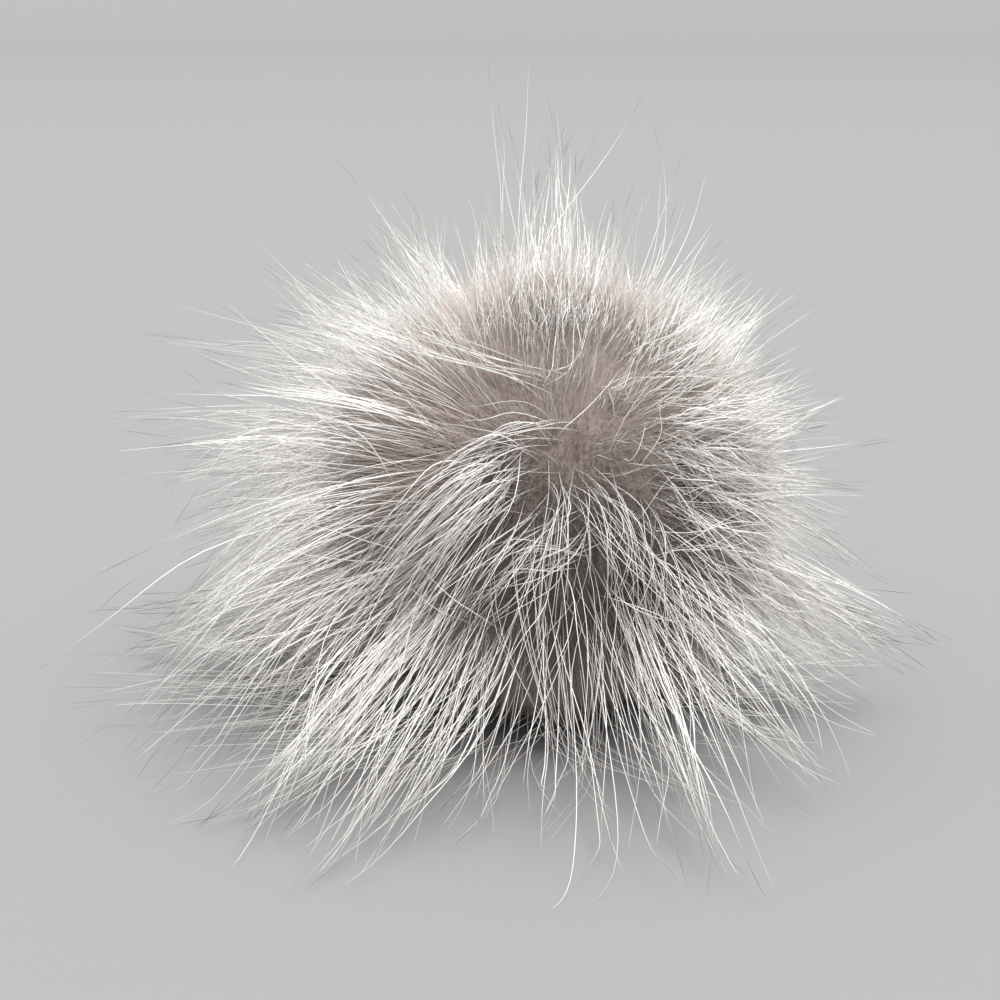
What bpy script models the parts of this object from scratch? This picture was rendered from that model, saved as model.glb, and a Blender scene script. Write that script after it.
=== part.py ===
"""Fur pom pom: one ball of dense fur whose long hair stands out in pointed locks.

Metres, +Z up. The origin is the middle of the small flat spot on which the ball rests, and the face of the
ball looks along -Y.

The solid is a round ball with a pointed lock of hair on each corner of an icosphere. Gravity turns a lock
from the direction of its root to that of its tip, so hair on the crown stands up, hair at the sides arches
over and hair near the floor lies out along it.
"""

import math
from typing import NamedTuple

import bmesh
import bpy
import numpy as np
from mathutils import Euler, Vector

OBJECT_NAME = "fur_pom_pom"
NODE_NAME = "fur_ball"

# Driving sizes, in metres: the ball between the locks, its centre above the floor, and how far the lowest
# locks stay off the floor.
BALL_RADIUS = 0.036
BALL_HEIGHT = 0.033
FLOOR_CLEARANCE = 0.0015

# A lock stands on each corner of an icosphere of this level. The icosphere is turned, so that its even rows
# of corners don't follow the floor.
LOCK_LEVEL = 4
ICOSPHERE_TURN = Euler((0.35, 0.55, 0.2))

# How much the locks differ: the share of their length, and the angle that their tips sway to either side.
LENGTH_SPREAD = 0.16
SWAY = math.radians(3.5)
SEED = 11

FUR_COLOR = (0.62, 0.57, 0.54, 1.0)
FUR_ROUGHNESS = 0.92
SMOOTH_ANGLE = math.radians(50.0)


class Fall(NamedTuple):
    """How a lock lies: the elevations of its root and its tip, and how far the tip is from the centre."""

    root_elevation_deg: float
    tip_elevation_deg: float
    tip_reach: float


# From the floor up to the crown. The first two rows are the fur that is pressed flat under the ball.
FALL_TABLE = (
    Fall(root_elevation_deg=-90.0, tip_elevation_deg=-90.0, tip_reach=BALL_RADIUS),
    Fall(root_elevation_deg=-66.0, tip_elevation_deg=-66.0, tip_reach=BALL_RADIUS),
    Fall(root_elevation_deg=-56.0, tip_elevation_deg=-42.0, tip_reach=0.046),
    Fall(root_elevation_deg=-45.0, tip_elevation_deg=-30.0, tip_reach=0.059),
    Fall(root_elevation_deg=-25.0, tip_elevation_deg=-21.0, tip_reach=0.062),
    Fall(root_elevation_deg=0.0, tip_elevation_deg=-9.0, tip_reach=0.060),
    Fall(root_elevation_deg=30.0, tip_elevation_deg=25.0, tip_reach=0.057),
    Fall(root_elevation_deg=60.0, tip_elevation_deg=61.0, tip_reach=0.055),
    Fall(root_elevation_deg=90.0, tip_elevation_deg=90.0, tip_reach=0.056),
)


class Side(NamedTuple):
    """A side of the ball where the hair is longer or shorter, and the share of the reach that it adds there.

    Azimuth 0 is the front, and it grows towards +X.
    """

    azimuth_deg: float
    elevation_deg: float
    width_deg: float
    added_share: float


# The thin-haired crown in the face, the long hair to the left and low in front, and the back.
SIDE_TABLE = (
    Side(azimuth_deg=8.0, elevation_deg=22.0, width_deg=34.0, added_share=-0.16),
    Side(azimuth_deg=-75.0, elevation_deg=-5.0, width_deg=40.0, added_share=0.08),
    Side(azimuth_deg=-10.0, elevation_deg=-25.0, width_deg=40.0, added_share=0.03),
    Side(azimuth_deg=180.0, elevation_deg=10.0, width_deg=50.0, added_share=-0.04),
)


def clear_scene():
    """Remove every object, so that the file holds only this part."""
    for obj in list(bpy.data.objects):
        bpy.data.objects.remove(obj, do_unlink=True)


def direction(azimuth, elevation):
    """Unit vector of an azimuth from the front towards +X, and an elevation, in radians."""
    level = math.cos(elevation)
    return Vector((level * math.sin(azimuth), -level * math.cos(azimuth), math.sin(elevation)))


def fall_at(root_elevation):
    """Tip elevation and reach of the lock whose root has this elevation, read off FALL_TABLE."""
    roots = [math.radians(row.root_elevation_deg) for row in FALL_TABLE]
    tips = [math.radians(row.tip_elevation_deg) for row in FALL_TABLE]
    reaches = [row.tip_reach for row in FALL_TABLE]
    return np.interp(root_elevation, roots, tips), np.interp(root_elevation, roots, reaches)


def side_factor(way):
    """How much longer or shorter the hair is on this side of the ball."""
    factor = 1.0
    for side in SIDE_TABLE:
        middle = direction(math.radians(side.azimuth_deg), math.radians(side.elevation_deg))
        nearness = math.exp(-((way.angle(middle) / math.radians(side.width_deg)) ** 2))
        factor += side.added_share * nearness
    return factor


def lock_tip(root, rng):
    """Where the tip of one lock is, seen from the ball's centre.

    Each lock has its own length and its own sway, in proportion to how far it stands out of the ball.
    """
    root_azimuth = math.atan2(root.x, -root.y)
    root_elevation = math.asin(max(-1.0, min(1.0, root.z)))
    tip_elevation, reach = fall_at(root_elevation)
    length = max(reach * side_factor(root) - BALL_RADIUS, 0.0)
    length *= 1.0 + LENGTH_SPREAD * rng.uniform(-1.0, 1.0)
    sway = SWAY * min(1.0, length / (BALL_RADIUS / 2.0))
    azimuth = root_azimuth + sway * rng.uniform(-1.0, 1.0)
    elevation = tip_elevation + sway * rng.uniform(-1.0, 1.0)
    return direction(azimuth, elevation) * (BALL_RADIUS + length)


def shape_fur(mesh):
    """Make the ball and its locks: an icosphere's corners are the tips, and the middles of its edges the ball."""
    rng = np.random.default_rng(SEED)
    bmesh.ops.create_icosphere(
        mesh, subdivisions=LOCK_LEVEL, radius=1.0, matrix=ICOSPHERE_TURN.to_matrix().to_4x4()
    )
    cut = bmesh.ops.subdivide_edges(mesh, edges=mesh.edges[:], cuts=1, use_grid_fill=True)
    middles = {item for item in cut["geom_inner"] if isinstance(item, bmesh.types.BMVert)}
    for vert in mesh.verts:
        way = vert.co.normalized()
        vert.co = way * BALL_RADIUS if vert in middles else lock_tip(way, rng)
    bmesh.ops.translate(mesh, verts=mesh.verts[:], vec=(0.0, 0.0, BALL_HEIGHT))


def lift_low_hair(mesh):
    """Keep the hair around the flat spot just clear of the floor."""
    flat_radius = math.sqrt(BALL_RADIUS**2 - BALL_HEIGHT**2)
    for vert in mesh.verts:
        if math.hypot(vert.co.x, vert.co.y) > flat_radius:
            vert.co.z = max(vert.co.z, FLOOR_CLEARANCE)


def cut_flat_spot(mesh):
    """Cut off what is below the floor, and close the ball with one flat face."""
    geometry = mesh.verts[:] + mesh.edges[:] + mesh.faces[:]
    cut = bmesh.ops.bisect_plane(
        mesh, geom=geometry, plane_co=(0.0, 0.0, 0.0), plane_no=(0.0, 0.0, -1.0), clear_outer=True
    )
    rim = [item for item in cut["geom_cut"] if isinstance(item, bmesh.types.BMEdge)]
    bmesh.ops.edgeloop_fill(mesh, edges=rim)


def fur_material():
    """Pale taupe fur."""
    material = bpy.data.materials.new("fur")
    material.use_nodes = True
    shader = material.node_tree.nodes["Principled BSDF"]
    shader.inputs["Base Color"].default_value = FUR_COLOR
    shader.inputs["Roughness"].default_value = FUR_ROUGHNESS
    shader.inputs["Metallic"].default_value = 0.0
    return material


def build_fur_ball(collection):
    """The pom pom's one solid."""
    mesh = bmesh.new()
    shape_fur(mesh)
    lift_low_hair(mesh)
    cut_flat_spot(mesh)
    bmesh.ops.recalc_face_normals(mesh, faces=mesh.faces[:])
    data = bpy.data.meshes.new(NODE_NAME)
    mesh.to_mesh(data)
    mesh.free()
    data.shade_smooth()
    data.set_sharp_from_angle(angle=SMOOTH_ANGLE)
    data.materials.append(fur_material())
    collection.objects.link(bpy.data.objects.new(NODE_NAME, data))


def main():
    """Build the pom pom in its own collection."""
    clear_scene()
    collection = bpy.data.collections.new(OBJECT_NAME)
    bpy.context.scene.collection.children.link(collection)
    build_fur_ball(collection)


main()
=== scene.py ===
"""Looks of the fur pom pom: a ball of fine taupe underfur under long white guard hair in pointed locks.

Metres, +Z up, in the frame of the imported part. The ball rests on z = 0 and its face looks along -Y. Hair is
grown strand by strand out of the ball, and each strand ends up as a closed, tapering tube of three sides.
"""

import logging
import math
from dataclasses import dataclass, replace
from enum import Enum
from typing import NamedTuple

import bmesh
import bpy
import numpy as np
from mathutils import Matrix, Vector, noise


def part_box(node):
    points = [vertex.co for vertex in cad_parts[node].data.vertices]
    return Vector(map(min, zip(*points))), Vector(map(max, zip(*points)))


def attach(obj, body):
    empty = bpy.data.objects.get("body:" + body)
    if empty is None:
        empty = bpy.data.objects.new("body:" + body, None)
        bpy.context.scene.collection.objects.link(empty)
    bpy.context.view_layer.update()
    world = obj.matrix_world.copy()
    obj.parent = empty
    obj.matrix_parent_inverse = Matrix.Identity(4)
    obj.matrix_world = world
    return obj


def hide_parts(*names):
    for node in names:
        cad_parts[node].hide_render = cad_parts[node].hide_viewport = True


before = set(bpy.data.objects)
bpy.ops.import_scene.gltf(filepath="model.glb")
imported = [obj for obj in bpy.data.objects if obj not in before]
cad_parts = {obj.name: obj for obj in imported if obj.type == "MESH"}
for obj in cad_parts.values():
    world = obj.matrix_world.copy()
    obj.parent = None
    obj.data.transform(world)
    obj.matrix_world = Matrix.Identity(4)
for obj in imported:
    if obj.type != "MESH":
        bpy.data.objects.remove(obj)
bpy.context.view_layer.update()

CAD_NODE = "fur_ball"
BODY = "root"

BAKE_MAP = "OFBake"
MM = 0.001
GOLDEN_ANGLE = math.pi * (3.0 - math.sqrt(5.0))
DOWN = np.array((0.0, 0.0, -1.0))
LOWEST_HAIR = 0.0003

# Share of the hairs of a dark lock that end in each of the tones from white to charcoal.
MOSTLY_DARK = (0.05, 0.15, 0.30, 0.50)

Color = tuple[float, float, float, float]
Feeds = dict[int | str, "bpy.types.NodeSocket | float | Color"]

logging.basicConfig(level=logging.INFO, format="%(name)s: %(message)s")
log = logging.getLogger("pom_pom")


def unit(vectors: np.ndarray) -> np.ndarray:
    """Vectors of length one, along the last axis."""
    return vectors / np.maximum(np.linalg.norm(vectors, axis=-1, keepdims=True), 1e-12)


def direction(azimuth_deg: float, elevation_deg: float) -> np.ndarray:
    """Unit vector for an azimuth, 0 at the front and growing towards +X, and an elevation."""
    azimuth, elevation = math.radians(azimuth_deg), math.radians(elevation_deg)
    level = math.cos(elevation)
    return np.array((level * math.sin(azimuth), -level * math.cos(azimuth), math.sin(elevation)))


def even_directions(count: int, jitter: float, rng: np.random.Generator) -> np.ndarray:
    """Spread unit vectors evenly over the sphere, then shake them.

    Args:
        count: How many vectors to make.
        jitter: How far each is moved, in spacings.
        rng: Source of the shaking.

    Returns:
        An array of count unit vectors.
    """
    step = np.arange(count) + 0.5
    height = 1.0 - 2.0 * step / count
    level = np.sqrt(1.0 - height**2)
    turn = GOLDEN_ANGLE * step
    even = np.stack((level * np.cos(turn), level * np.sin(turn), height), axis=1)
    spacing = math.sqrt(4.0 * math.pi / count)
    return unit(even + rng.normal(0.0, jitter * spacing, even.shape))


def smoothstep(low: float, high: float, values: np.ndarray) -> np.ndarray:
    """Rise from 0 at low to 1 at high with level ends."""
    share = np.clip((values - low) / (high - low), 0.0, 1.0)
    return share * share * (3.0 - 2.0 * share)


def degrees_between(ways: np.ndarray, way: np.ndarray) -> np.ndarray:
    """Angle of unit vectors from one unit vector, in degrees."""
    return np.degrees(np.arccos(np.clip(ways @ way, -1.0, 1.0)))


def off_top(clock: np.ndarray) -> np.ndarray:
    """How far clock angles are from 0, whichever way round, in degrees."""
    return np.abs((clock + 180.0) % 360.0 - 180.0)


def relaxed(points: np.ndarray, rounds: int) -> np.ndarray:
    """Take the kinks out of strands, and leave their ends where they are.

    Args:
        points: Places, shaped (strands, points, 3).
        rounds: How often each inner point moves halfway between its neighbours.

    Returns:
        The smoother places.
    """
    for _ in range(rounds):
        inner = 0.5 * points[:, 1:-1] + 0.25 * (points[:, :-2] + points[:, 2:])
        points = np.concatenate((points[:, :1], inner, points[:, -1:]), axis=1)
    return points


def add_object(name: str, data: bpy.types.ID) -> bpy.types.Object:
    """Make an object that shows some data, and link it to the scene."""
    added = bpy.data.objects.new(name, data)
    bpy.context.scene.collection.objects.link(added)
    return added


def add_smooth_object(name: str, mesh: bmesh.types.BMesh, material: bpy.types.Material) -> bpy.types.Object:
    """Turn a finished bmesh into a smooth object of one material.

    Args:
        name: The object's name.
        mesh: Its shape, which is freed.
        material: Its finish.

    Returns:
        The new object, linked to the scene.
    """
    data = bpy.data.meshes.new(name)
    mesh.to_mesh(data)
    mesh.free()
    data.shade_smooth()
    data.materials.append(material)
    return add_object(name, data)


def feed(tree: bpy.types.NodeTree, node: bpy.types.Node, feeds: Feeds) -> None:
    """Link sockets to a node's inputs, and set the inputs that get plain values.

    Args:
        tree: The node tree.
        node: The node.
        feeds: What each input gets, by its name or number.
    """
    for name, value in feeds.items():
        if isinstance(value, bpy.types.NodeSocket):
            tree.links.new(value, node.inputs[name])
        else:
            node.inputs[name].default_value = value


def add_node(tree: bpy.types.NodeTree, kind: str, feeds: Feeds, **settings: object) -> bpy.types.Node:
    """Add a shader node.

    Args:
        tree: The node tree.
        kind: Which node, without the ShaderNode that its type starts with.
        feeds: What each of its inputs gets.
        **settings: Its other settings.

    Returns:
        The new node.
    """
    node = tree.nodes.new(f"ShaderNode{kind}")
    for setting, value in settings.items():
        setattr(node, setting, value)
    feed(tree, node, feeds)
    return node


def calculate(
    tree: bpy.types.NodeTree, operation: str, *values: bpy.types.NodeSocket | float
) -> bpy.types.NodeSocket:
    """Add a Math node on some values, and return its result."""
    return add_node(tree, "Math", dict(enumerate(values)), operation=operation).outputs[0]


def mix_colors(
    tree: bpy.types.NodeTree,
    factor: bpy.types.NodeSocket,
    first: bpy.types.NodeSocket | Color,
    second: bpy.types.NodeSocket | Color,
) -> bpy.types.NodeSocket:
    """Add a Mix node on two colours, whose sockets have no names of their own, and return its result."""
    return add_node(tree, "Mix", {0: factor, 6: first, 7: second}, data_type="RGBA").outputs[2]


def new_material(
    name: str, roughness: float, specular: float = 0.5
) -> tuple[bpy.types.Material, bpy.types.Node]:
    """Make a material.

    Args:
        name: Its name.
        roughness: Roughness of the surface.
        specular: How strong its highlights are.

    Returns:
        The material and its shader.
    """
    material = bpy.data.materials.new(name)
    material.use_nodes = True
    shader = material.node_tree.nodes["Principled BSDF"]
    feed(material.node_tree, shader, {"Roughness": roughness, "Specular IOR Level": specular})
    return material, shader


@dataclass(frozen=True)
class Ramp:
    """An amount that comes in softly between two values of some measure.

    Attributes:
        start: Where there is none of it.
        end: Where there is all of it.
        amount: How much all of it is.
    """

    start: float
    end: float
    amount: float = 1.0

    def at(self, values: np.ndarray) -> np.ndarray:
        """The amount at values of the measure."""
        return self.amount * smoothstep(self.start, self.end, values)


class TipTone(Enum):
    """How dark a guard hair ends, as its quarter of the bake map."""

    WHITE = 0
    SILVER = 1
    GREY = 2
    CHARCOAL = 3


@dataclass(frozen=True)
class Ball:
    """The ball that the hair grows out of.

    Attributes:
        centre: Its middle.
        skin_radius: Where the guard hair comes out of the hidden part of the underfur.
        body_radius: The closed body of the underfur.
        fluff_radius: Where most of the underfur ends.
        crown_azimuth_deg, crown_elevation_deg: The crown, the spot from which the hair is combed away.
        rooted: How far along a hair its root is, which may lie in the fluff.
    """

    centre: tuple[float, float, float] = (0.0, 0.0, 0.033)
    skin_radius: float = 0.0275
    body_radius: float = 0.0302
    fluff_radius: float = 0.0330
    crown_azimuth_deg: float = 6.0
    crown_elevation_deg: float = 24.0
    rooted: Ramp = Ramp(0.0, 0.22)

    def middle(self) -> np.ndarray:
        """The centre as an array."""
        return np.array(self.centre)

    def crown(self) -> np.ndarray:
        """Unit vector from the centre to the crown."""
        return direction(self.crown_azimuth_deg, self.crown_elevation_deg)

    def crown_angle(self, ways: np.ndarray) -> np.ndarray:
        """Angle of unit vectors from the crown, in degrees."""
        return degrees_between(ways, self.crown())

    def away_from_crown(self, ways: np.ndarray) -> np.ndarray:
        """Unit tangents that lead away from the crown along the ball."""
        crown = self.crown()
        return unit(ways * (ways @ crown)[..., None] - crown)

    def clock(self, ways: np.ndarray) -> np.ndarray:
        """Clock angle of unit vectors around the crown, in degrees: 0 up, 90 towards +X, 180 down."""
        crown = self.crown()
        right = unit(np.cross(crown, DOWN))
        up = np.cross(crown, right)
        return np.degrees(np.arctan2(ways @ right, ways @ up)) % 360.0

    def keep_out(self, points: np.ndarray, along: np.ndarray) -> np.ndarray:
        """Push hair out of the underfur, except at its roots.

        Args:
            points: Places, shaped (hairs, points, 3).
            along: How far along its hair each is, shaped (hairs, points).

        Returns:
            The places, none of them deep in the ball.
        """
        outward = points - self.middle()
        reach = np.linalg.norm(outward, axis=-1)
        least = self.skin_radius + (self.fluff_radius - self.skin_radius) * self.rooted.at(along)
        stretch = np.maximum(least / np.maximum(reach, 1e-6), 1.0)
        return self.middle() + outward * stretch[..., None]


@dataclass(frozen=True)
class Drift:
    """A value that drifts softly over the ball, as a sum of waves.

    Attributes:
        seed: Seed of the waves.
        waves: How many waves there are.
        fineness: How fast the value changes over the ball.
    """

    seed: int
    waves: int = 7
    fineness: float = 4.0

    def at(self, ways: np.ndarray) -> np.ndarray:
        """The value, about -1 to 1, at unit vectors."""
        rng = np.random.default_rng(self.seed)
        runs = rng.normal(0.0, self.fineness, (self.waves, 3))
        shifts = rng.uniform(0.0, 2.0 * np.pi, self.waves)
        return np.sin(ways @ runs.T + shifts).sum(axis=-1) * math.sqrt(1.0 / self.waves)


@dataclass(frozen=True)
class Combing:
    """How the hair lies: its lean away from the crown, its reach and its weight.

    Attributes:
        lean_table: Angle from the crown and the lean from the upright there, in degrees.
        length_table: Clock angle around the crown in degrees, and the guard hair's length there.
        back_length: Length of the guard hair on the back of the ball.
        top: The top side of the crown, by the clock angle from the top.
        behind, behind_top: Where hair is as long as on the back, by the angle from the crown; also on top.
        more_lean_deg: How much more the hair leans where it is combed back: on the right and behind the top.
        right_clock: Where the right starts and where it ends, by the clock angle.
        right_off, top_off, back_off: Where hair leans more on the right and on top, and where it ends, by the
            angle from the crown.
        weight_table: Height of the root over the ball's middle, as a share of the radius, and how fast a
            level hair turns down there, in radians per metre.
        follow: How fast a strand turns to the lie of the coat near its root, per metre.
        swirl_deg, swirl: How far the lie drifts off straight away from the crown, and how over the ball.
    """

    lean_table: tuple[tuple[float, float], ...] = (
        (0.0, 8.0), (15.0, 42.0), (35.0, 60.0), (55.0, 52.0), (75.0, 37.0), (95.0, 26.0), (125.0, 16.0),
        (180.0, 0.0),
    )
    length_table: tuple[tuple[float, float], ...] = (
        (0.0, 0.0182), (30.0, 0.0190), (60.0, 0.0215), (80.0, 0.0225), (100.0, 0.0260), (115.0, 0.0315),
        (130.0, 0.0345), (150.0, 0.0400), (190.0, 0.0440), (210.0, 0.0470), (230.0, 0.0500), (245.0, 0.0500),
        (260.0, 0.0410), (280.0, 0.0345), (300.0, 0.0345), (315.0, 0.0320), (330.0, 0.0230), (345.0, 0.0180),
        (360.0, 0.0182),
    )
    back_length: float = 0.037
    top: Ramp = Ramp(80.0, 50.0)
    behind: Ramp = Ramp(108.0, 150.0)
    behind_top: Ramp = Ramp(88.0, 118.0)
    more_lean_deg: float = 22.0
    right_clock: tuple[Ramp, Ramp] = (Ramp(15.0, 50.0), Ramp(140.0, 105.0))
    right_off: Ramp = Ramp(55.0, 80.0)
    top_off: Ramp = Ramp(82.0, 96.0)
    back_off: Ramp = Ramp(150.0, 120.0)
    weight_table: tuple[tuple[float, float], ...] = ((-1.0, 20.0), (-0.2, 20.0), (0.4, 12.0), (1.0, 7.0))
    follow: float = 110.0
    swirl_deg: float = 16.0
    swirl: Drift = Drift(seed=5)

    def lean(self, crown_angle: np.ndarray) -> np.ndarray:
        """Lean from the upright, in radians."""
        angles, leans = zip(*self.lean_table)
        return np.radians(np.interp(crown_angle, angles, leans))

    def length(self, ball: Ball, ways: np.ndarray) -> np.ndarray:
        """Length of guard hair.

        Args:
            ball: The ball.
            ways: Unit vectors from its middle to the roots.

        Returns:
            Lengths in metres.
        """
        clocks, lengths = zip(*self.length_table)
        clock, off_crown = ball.clock(ways), ball.crown_angle(ways)
        front = np.interp(clock, clocks, lengths)
        behind = self.behind.at(off_crown)
        behind = behind + self.top.at(off_top(clock)) * (self.behind_top.at(off_crown) - behind)
        return front + behind * (self.back_length - front)

    def weight(self, height_share: np.ndarray) -> np.ndarray:
        """How fast a level hair turns down, in radians per metre."""
        heights, weights = zip(*self.weight_table)
        return np.interp(height_share, heights, weights)

    def lie(self, ball: Ball, ways: np.ndarray, share: float) -> np.ndarray:
        """Which way hair lies on the ball.

        Args:
            ball: The ball.
            ways: Unit vectors from its middle.
            share: Share of the full lean.

        Returns:
            Unit vectors along the hair.
        """
        off_crown, clock = ball.crown_angle(ways), ball.clock(ways)
        first, last = self.right_clock
        right = first.at(clock) * last.at(clock) * self.right_off.at(off_crown)
        behind = self.top.at(off_top(clock)) * self.top_off.at(off_crown)
        more = np.maximum(right, behind) * self.back_off.at(off_crown)
        lean = ((self.lean(off_crown) + math.radians(self.more_lean_deg) * more) * share)[..., None]
        away = ball.away_from_crown(ways)
        turn = (np.radians(self.swirl_deg) * self.swirl.at(ways))[..., None]
        away = np.cos(turn) * away + np.sin(turn) * np.cross(ways, away)
        return np.cos(lean) * ways + np.sin(lean) * away


@dataclass
class Strands:
    """Many strands with the same number of points.

    Attributes:
        points: Places, shaped (strands, points, 3).
        radii: Half thickness, shaped (strands, points).
        column: Each strand's column of the bake map, from 0 to 1.
    """

    points: np.ndarray
    radii: np.ndarray
    column: np.ndarray

    def __len__(self) -> int:
        """How many strands there are."""
        return len(self.points)

    def pick(self, chosen: np.ndarray) -> "Strands":
        """The strands that a mask or a list of numbers names."""
        return Strands(self.points[chosen], self.radii[chosen], self.column[chosen])

    def joined(self, other: "Strands") -> "Strands":
        """These strands and others with as many points."""
        return Strands(
            np.concatenate((self.points, other.points)),
            np.concatenate((self.radii, other.radii)),
            np.concatenate((self.column, other.column)),
        )


@dataclass(frozen=True)
class Room:
    """The space that hair may fill.

    Attributes:
        lowest: Its lowest corner.
        highest: Its highest corner.
    """

    lowest: tuple[float, float, float]
    highest: tuple[float, float, float]

    PROUD_SHARE = 0.03
    PROUD = 0.0085

    @classmethod
    def around(cls, node: str) -> "Room":
        """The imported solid's box, and as far past it as hair may stand proud."""
        lowest, highest = (np.array(corner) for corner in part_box(node))
        proud = cls.PROUD_SHARE * (highest - lowest) + cls.PROUD
        return cls(tuple(lowest - proud), tuple(highest + proud))

    def fit(self, points: np.ndarray) -> np.ndarray:
        """Shrink each hair that leaves the room towards its root, so that it stays inside.

        Args:
            points: Places, shaped (hairs, points, 3).

        Returns:
            The places, all of them inside.
        """
        root = points[:, :1]
        run = points - root
        limit = np.where(run > 0.0, np.array(self.highest) - root, np.array(self.lowest) - root)
        share = np.where(np.abs(run) > np.abs(limit), limit / np.where(run == 0.0, 1.0, run), 1.0)
        return root + run * share.min(axis=(1, 2), keepdims=True)


@dataclass(frozen=True)
class Growth:
    """Grows strands out of the ball, step by step, under the combing, their weight and the floor.

    Attributes:
        ball: The ball they grow from.
        combing: How the coat lies.
        steps: Steps along a strand.
        follow_share, follow_power: Share of the length after which a strand no longer turns to the coat's
            lie, and how soon it does so less.
        start_share: Share of the coat's lean with which a strand leaves the skin.
        tip_lightness: How much less its weight turns a strand at its tip.
        look_ahead: How many steps before the floor a strand starts to lie out along it.
        steepest_rise: How steeply a strand rises to its height over the floor.
    """

    ball: Ball
    combing: Combing
    steps: int = 28
    follow_share: float = 0.45
    follow_power: float = 1.5
    start_share: float = 0.5
    tip_lightness: float = 0.6
    look_ahead: float = 3.0
    steepest_rise: float = 0.6

    def grow(
        self,
        roots: np.ndarray,
        root_radius: np.ndarray,
        length: np.ndarray,
        sway: np.ndarray,
        bend: np.ndarray,
        floor_height: np.ndarray,
        lean_share: float = 1.0,
    ) -> np.ndarray:
        """Grow strands.

        Args:
            roots: Unit vectors from the ball's centre to the roots.
            root_radius: How far each root is from the centre.
            length: Length of each strand.
            sway: How each strand's lie differs from the coat's, added to unit vectors.
            bend: Each strand's own steady turn, a vector per metre.
            floor_height: How high each strand lies where it meets the floor.
            lean_share: Share of the coat's lean that they take.

        Returns:
            Places shaped (strands, steps + 1, 3).
        """
        centre = self.ball.middle()
        place = centre + roots * root_radius[:, None]
        start = self.start_share
        way = unit(self.combing.lie(self.ball, roots, start * lean_share) + start * sway)
        weight = self.combing.weight(roots[:, 2])[:, None]
        step = (length / self.steps)[:, None]
        places = [place]
        for number in range(self.steps):
            along = number / self.steps
            lie = unit(self.combing.lie(self.ball, unit(place - centre), lean_share) + sway)
            hold = max(0.0, 1.0 - along / self.follow_share) ** self.follow_power
            turn = self.combing.follow * hold * (lie - way)
            turn = turn + weight * (1.0 - self.tip_lightness * along) * DOWN + bend
            way = unit(way + turn * step)
            way = self.above_floor(place, way, step, floor_height)
            place = place + way * step
            places.append(place)
        return np.stack(places, axis=1)

    def above_floor(
        self, place: np.ndarray, way: np.ndarray, step: np.ndarray, floor_height: np.ndarray
    ) -> np.ndarray:
        """Turn the strands that near the floor so that they lie out along it.

        Args:
            place: Where each strand has got to.
            way: Which way each goes on.
            step: How long the next step is.
            floor_height: How high each lies where it meets the floor.

        Returns:
            The ways, none of them into the floor.
        """
        lowest = (floor_height - place[:, 2]) / (self.look_ahead * step[:, 0])
        level = way.copy()
        level[:, 2] = np.maximum(way[:, 2], np.clip(lowest, -1.0, self.steepest_rise))
        return unit(level)


@dataclass(frozen=True)
class Taper:
    """Thickness of a strand along its length.

    Attributes:
        thickness: Diameter at its thickest.
        root_share: Share of that at the root.
        tip_share: Share of that near the tip.
        fullest: Where along the strand it is thickest.
        fall_power: How soon it thins after that.
    """

    thickness: float
    root_share: float
    tip_share: float
    fullest: float
    fall_power: float = 0.8

    def radii(self, along: np.ndarray) -> np.ndarray:
        """Radii at places from 0 at the root to 1 at the tip."""
        rise = self.root_share + (1.0 - self.root_share) * smoothstep(0.0, self.fullest, along)
        fall = 1.0 - (1.0 - self.tip_share) * smoothstep(self.fullest, 1.0, along) ** self.fall_power
        return 0.5 * self.thickness * rise * fall


@dataclass(frozen=True)
class Crimp:
    """The slight waves of single hairs.

    Attributes:
        height: How far a hair's waves swing out.
        waves: Least and most waves along a hair.
        second_waves, second_height: How many more waves each hair's second wave has, and how high they are.
        grown: How far along a hair its waves have their full height.
    """

    height: float = 0.00028
    waves: tuple[float, float] = (0.3, 0.9)
    second_waves: float = 1.8
    second_height: float = 0.4
    grown: Ramp = Ramp(0.0, 0.5)

    def offsets(self, rng: np.random.Generator, count: int, along: np.ndarray) -> np.ndarray:
        """How far each point of each hair swings out.

        Args:
            rng: Source of the waves.
            count: How many hairs there are.
            along: How far along its hair each point is, shaped (hairs or 1, points).

        Returns:
            Offsets shaped (hairs, points, 3), none at the root.
        """
        swing = rng.normal(0.0, self.height, (2, count, 1, 3))
        more = np.array((1.0, self.second_waves)).reshape(2, 1, 1)
        runs = rng.uniform(*self.waves, (2, count, 1)) * more
        start = rng.uniform(0.0, 2.0 * np.pi, (2, count, 1))
        waves = np.sin(2.0 * np.pi * runs * along + start) - np.sin(start)
        weight = np.array((1.0, self.second_height)).reshape(2, 1, 1)
        grown = self.grown.at(along) * (weight * waves)
        return (swing * grown[..., None]).sum(axis=0)


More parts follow.
